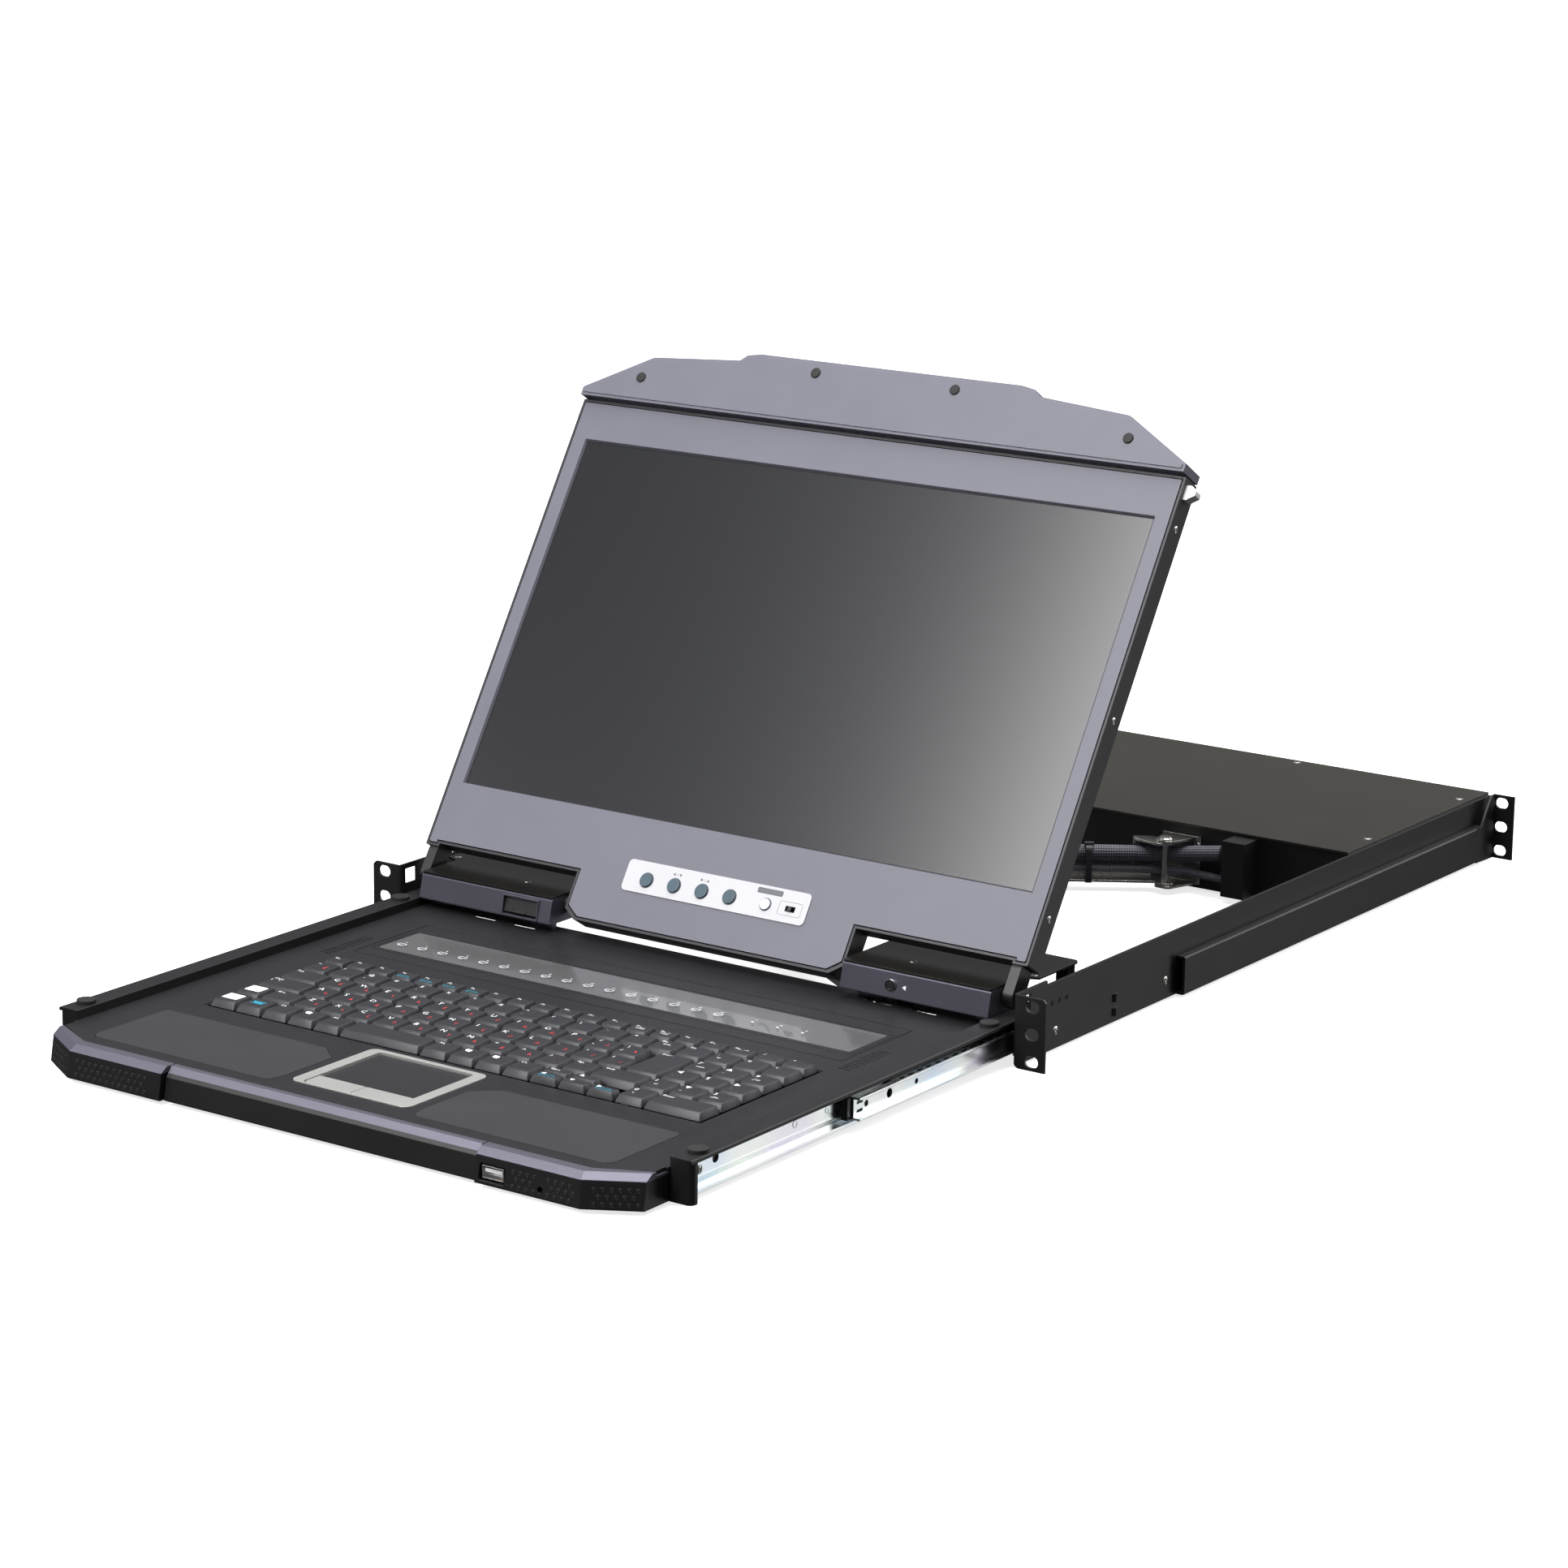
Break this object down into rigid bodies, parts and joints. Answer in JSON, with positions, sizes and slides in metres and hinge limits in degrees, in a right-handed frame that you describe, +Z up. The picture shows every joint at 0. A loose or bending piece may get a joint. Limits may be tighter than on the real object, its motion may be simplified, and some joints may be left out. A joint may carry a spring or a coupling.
{
  "type": "rackmount lcd console drawer",
  "caption": "Rack drawer with fold-up display, keyboard and touchpad on telescoping ball slides, with a folding cable arm and sliding rear ears",
  "frame": {"origin": "midway between the front rack ears, on their front face, at the height of the middle ear hole", "axes": "+X to the user's right, +Y back into the rack, +Z up; drawer pulled out and display raised at rest"},
  "size_m": [0.4826, 0.9155, 0.344],
  "materials": {
    "grip_metal": "satin, fine texture",
    "chassis_paint": "satin black",
    "olive_plate": "satin",
    "back_cover": "satin black",
    "slide_zinc": "zinc plated",
    "cage_steel": "bright",
    "stop_plastic": "moulded",
    "arm_steel": "nickel plated",
    "cable_braid": "braided sleeve",
    "grommet_rubber": "moulded",
    "socket_metal": "tinned",
    "rocker_plastic": "moulded",
    "deck_plastic": "fine texture",
    "tray_steel": "satin black",
    "key_plastic": "fine texture",
    "well_plastic": "fine texture",
    "palm_film": "smooth",
    "pad_frame_silver": "satin",
    "pad_black": "smooth",
    "strip_gloss": "polished",
    "bumper_rubber": "moulded",
    "tray_socket_metal": "bright",
    "screen": "matt screen film",
    "button_white": "polished",
    "button_blue_grey": "smooth",
    "switch_black": "smooth",
    "catch_white": "moulded"
  },
  "bodies": {
    "chassis": {"chassis_side_left": "chassis_paint", "chassis_side_right": "chassis_paint", "slide_outers": "slide_zinc", "rear_box_base": "chassis_paint", "rear_box_lid": "olive_plate", "rear_sockets": "socket_metal", "cable_grommet": "grommet_rubber", "arm_wall_bracket": "arm_steel"},
    "rear_ear_left": {"rear_bracket_left": "chassis_paint"},
    "rear_ear_right": {"rear_bracket_right": "chassis_paint"},
    "slide_middle": {"slide_middles": "slide_zinc", "slide_stops": "stop_plastic"},
    "cage_inner": {"ball_cages": "cage_steel"},
    "cage_outer": {"ball_cages_outer": "cage_steel"},
    "tray": {"tray_pan": "tray_steel", "deck_cover": "deck_plastic", "front_grip": "grip_metal", "slide_inners": "slide_zinc", "palm_pads": "palm_film", "touchpad_frame": "pad_frame_silver", "touchpad": "pad_black", "status_strip": "strip_gloss", "tray_sockets": "tray_socket_metal", "hinge_box_left": "grip_metal", "hinge_box_right": "grip_metal", "hinge_box_lids": "olive_plate", "tray_bumpers": "bumper_rubber", "key_plate": "well_plastic", "arm_tray_bracket": "arm_steel"},
    "display": {"display_bezel": "grip_metal", "display_back": "back_cover", "lcd_panel": "screen", "visor": "grip_metal", "button_plate": "button_white", "hinge_arms": "grip_metal"},
    "arm_wall": {"arm_link_wall": "arm_steel", "arm_cables_wall": "cable_braid", "cable_loop_wall": "cable_braid"},
    "arm_tray": {"arm_link_tray": "arm_steel", "arm_cables_tray": "cable_braid", "cable_loop_elbow": "cable_braid", "cable_loop_tray": "cable_braid"},
    "keys_row_1": {"keys_row_1": "key_plastic"},
    "keys_row_2": {"keys_row_2": "key_plastic"},
    "keys_row_3": {"keys_row_3": "key_plastic"},
    "keys_row_4": {"keys_row_4": "key_plastic"},
    "keys_row_5": {"keys_row_5": "key_plastic"},
    "keys_row_6": {"keys_row_6": "key_plastic"},
    "touchpad_button_left": {"touchpad_button_left": "pad_black"},
    "touchpad_button_right": {"touchpad_button_right": "pad_black"},
    "menu_button_1": {"menu_button_1": "button_blue_grey"},
    "menu_button_2": {"menu_button_2": "button_blue_grey"},
    "menu_button_3": {"menu_button_3": "button_blue_grey"},
    "menu_button_4": {"menu_button_4": "button_blue_grey"},
    "display_power_button": {"display_power_button": "button_white"},
    "catch_right": {"catch_right": "catch_white"},
    "catch_left": {"catch_left": "catch_white"},
    "mode_switch": {"mode_switch": "switch_black"},
    "port_flap": {"port_flap": "deck_plastic"},
    "power_rocker": {"power_rocker": "rocker_plastic"}
  },
  "joints": [
    {"name": "tray_slide", "type": "slide", "parent": "chassis", "child": "tray", "axis": [0, 1, 0], "range_m": [0, 0.3]},
    {"name": "middle_slide", "type": "slide", "parent": "chassis", "child": "slide_middle", "axis": [0, 1, 0], "range_m": [0, 0.156]},
    {"name": "inner_cage_slide", "type": "slide", "parent": "chassis", "child": "cage_inner", "axis": [0, 1, 0], "range_m": [0, 0.228]},
    {"name": "outer_cage_slide", "type": "slide", "parent": "chassis", "child": "cage_outer", "axis": [0, 1, 0], "range_m": [0, 0.078]},
    {"name": "display_hinge", "type": "hinge", "parent": "tray", "child": "display", "pos_m": [0, 0.017, 0.0139], "axis": [1, 0, 0], "range_deg": [0, 121.84]},
    {"name": "arm_wall_hinge", "type": "hinge", "parent": "chassis", "child": "arm_wall", "pos_m": [0.1, 0.368, -0.014], "axis": [0, 0, 1], "range_deg": [-31.6, 0], "deforming": ["cable_loop_wall"]},
    {"name": "arm_elbow_hinge", "type": "hinge", "parent": "arm_wall", "child": "arm_tray", "pos_m": [-0.1412, 0.207, -0.014], "axis": [0, 0, 1], "range_deg": [0, 63.2], "deforming": ["cable_loop_elbow", "cable_loop_tray"]},
    {"name": "rear_ear_left_slide", "type": "slide", "parent": "chassis", "child": "rear_ear_left", "axis": [0, 1, 0], "range_m": [-0.06, 0.12]},
    {"name": "rear_ear_right_slide", "type": "slide", "parent": "chassis", "child": "rear_ear_right", "axis": [0, 1, 0], "range_m": [-0.06, 0.12]},
    {"name": "keys_row_1_press", "type": "slide", "parent": "tray", "child": "keys_row_1", "axis": [0, 0, 1], "range_m": [-0.002, 0], "stiffness_N_per_m": 300, "springref_m": 0.003},
    {"name": "keys_row_2_press", "type": "slide", "parent": "tray", "child": "keys_row_2", "axis": [0, 0, 1], "range_m": [-0.002, 0], "stiffness_N_per_m": 300, "springref_m": 0.003},
    {"name": "keys_row_3_press", "type": "slide", "parent": "tray", "child": "keys_row_3", "axis": [0, 0, 1], "range_m": [-0.002, 0], "stiffness_N_per_m": 300, "springref_m": 0.003},
    {"name": "keys_row_4_press", "type": "slide", "parent": "tray", "child": "keys_row_4", "axis": [0, 0, 1], "range_m": [-0.002, 0], "stiffness_N_per_m": 300, "springref_m": 0.003},
    {"name": "keys_row_5_press", "type": "slide", "parent": "tray", "child": "keys_row_5", "axis": [0, 0, 1], "range_m": [-0.002, 0], "stiffness_N_per_m": 300, "springref_m": 0.003},
    {"name": "keys_row_6_press", "type": "slide", "parent": "tray", "child": "keys_row_6", "axis": [0, 0, 1], "range_m": [-0.002, 0], "stiffness_N_per_m": 300, "springref_m": 0.003},
    {"name": "touchpad_button_left_press", "type": "slide", "parent": "tray", "child": "touchpad_button_left", "axis": [0, 0, 1], "range_m": [-0.0008, 0], "stiffness_N_per_m": 300, "springref_m": 0.001},
    {"name": "touchpad_button_right_press", "type": "slide", "parent": "tray", "child": "touchpad_button_right", "axis": [0, 0, 1], "range_m": [-0.0008, 0], "stiffness_N_per_m": 300, "springref_m": 0.001},
    {"name": "menu_button_1_press", "type": "slide", "parent": "display", "child": "menu_button_1", "axis": [0, -0.8495, 0.5275], "range_m": [-0.0008, 0], "stiffness_N_per_m": 300, "springref_m": 0.001},
    {"name": "menu_button_2_press", "type": "slide", "parent": "display", "child": "menu_button_2", "axis": [0, -0.8495, 0.5275], "range_m": [-0.0008, 0], "stiffness_N_per_m": 300, "springref_m": 0.001},
    {"name": "menu_button_3_press", "type": "slide", "parent": "display", "child": "menu_button_3", "axis": [0, -0.8495, 0.5275], "range_m": [-0.0008, 0], "stiffness_N_per_m": 300, "springref_m": 0.001},
    {"name": "menu_button_4_press", "type": "slide", "parent": "display", "child": "menu_button_4", "axis": [0, -0.8495, 0.5275], "range_m": [-0.0008, 0], "stiffness_N_per_m": 300, "springref_m": 0.001},
    {"name": "display_power_button_press", "type": "slide", "parent": "display", "child": "display_power_button", "axis": [0, -0.8495, 0.5275], "range_m": [-0.0008, 0], "stiffness_N_per_m": 300, "springref_m": 0.001},
    {"name": "catch_right_press", "type": "slide", "parent": "display", "child": "catch_right", "axis": [1, 0, 0], "range_m": [-0.006, 0], "stiffness_N_per_m": 200, "springref_m": 0.003},
    {"name": "catch_left_press", "type": "slide", "parent": "display", "child": "catch_left", "axis": [-1, 0, 0], "range_m": [-0.006, 0], "stiffness_N_per_m": 200, "springref_m": 0.003},
    {"name": "mode_switch_slide", "type": "slide", "parent": "display", "child": "mode_switch", "axis": [1, 0, 0], "range_m": [-0.002, 0.002]},
    {"name": "port_flap_hinge", "type": "hinge", "parent": "tray", "child": "port_flap", "pos_m": [-0.1273, 0.00313, 0.0153], "axis": [1, 0, 0], "range_deg": [0, 18]},
    {"name": "power_rocker_hinge", "type": "hinge", "parent": "chassis", "child": "power_rocker", "pos_m": [0.142, 0.5736, 0], "axis": [1, 0, 0], "range_deg": [0, 20]}
  ],
  "couplings": [
    {"joint": "middle_slide", "follows": "tray_slide", "ratio": 0.52},
    {"joint": "inner_cage_slide", "follows": "tray_slide", "ratio": 0.76},
    {"joint": "outer_cage_slide", "follows": "tray_slide", "ratio": 0.26},
    {"joint": "arm_wall_hinge", "follows": "tray_slide", "rad_per_m": -1.8354},
    {"joint": "arm_elbow_hinge", "follows": "tray_slide", "rad_per_m": 3.6709}
  ]
}
